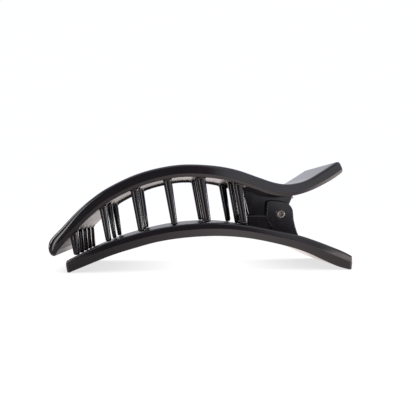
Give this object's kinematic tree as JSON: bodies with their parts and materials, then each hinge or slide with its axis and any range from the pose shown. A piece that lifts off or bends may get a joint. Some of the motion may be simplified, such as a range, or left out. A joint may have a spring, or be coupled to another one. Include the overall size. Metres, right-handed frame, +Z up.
{
  "type": "flat claw hair clip",
  "caption": "Long arched claw clip that lies flat against the head: a toothed upper jaw and a plain lower jaw, sprung shut on a hinge pin.",
  "frame": {"origin": "middle of the box around the closed clip, on the surface it lies on", "axes": "+X from the tip to the handles, +Y across the clip along the hinge pin, +Z up"},
  "size_m": [0.1119, 0.04, 0.0408],
  "materials": {
    "plastic": "glossy black moulded plastic",
    "steel": "plain drawn steel wire and pin"
  },
  "bodies": {
    "lower": {"lower_jaw": "plastic", "hinge_pin": "steel", "torsion_spring": "steel"},
    "upper": {"upper_jaw": "plastic"}
  },
  "joints": [
    {"name": "jaw_hinge", "type": "hinge", "parent": "lower", "child": "upper", "pos_m": [0.0298, 0, 0.0208], "axis": [0, 1, 0], "range_deg": [0, 50], "stiffness_Nm_per_rad": 0.25, "springref_deg": -28.65, "deforming": ["torsion_spring"]}
  ]
}
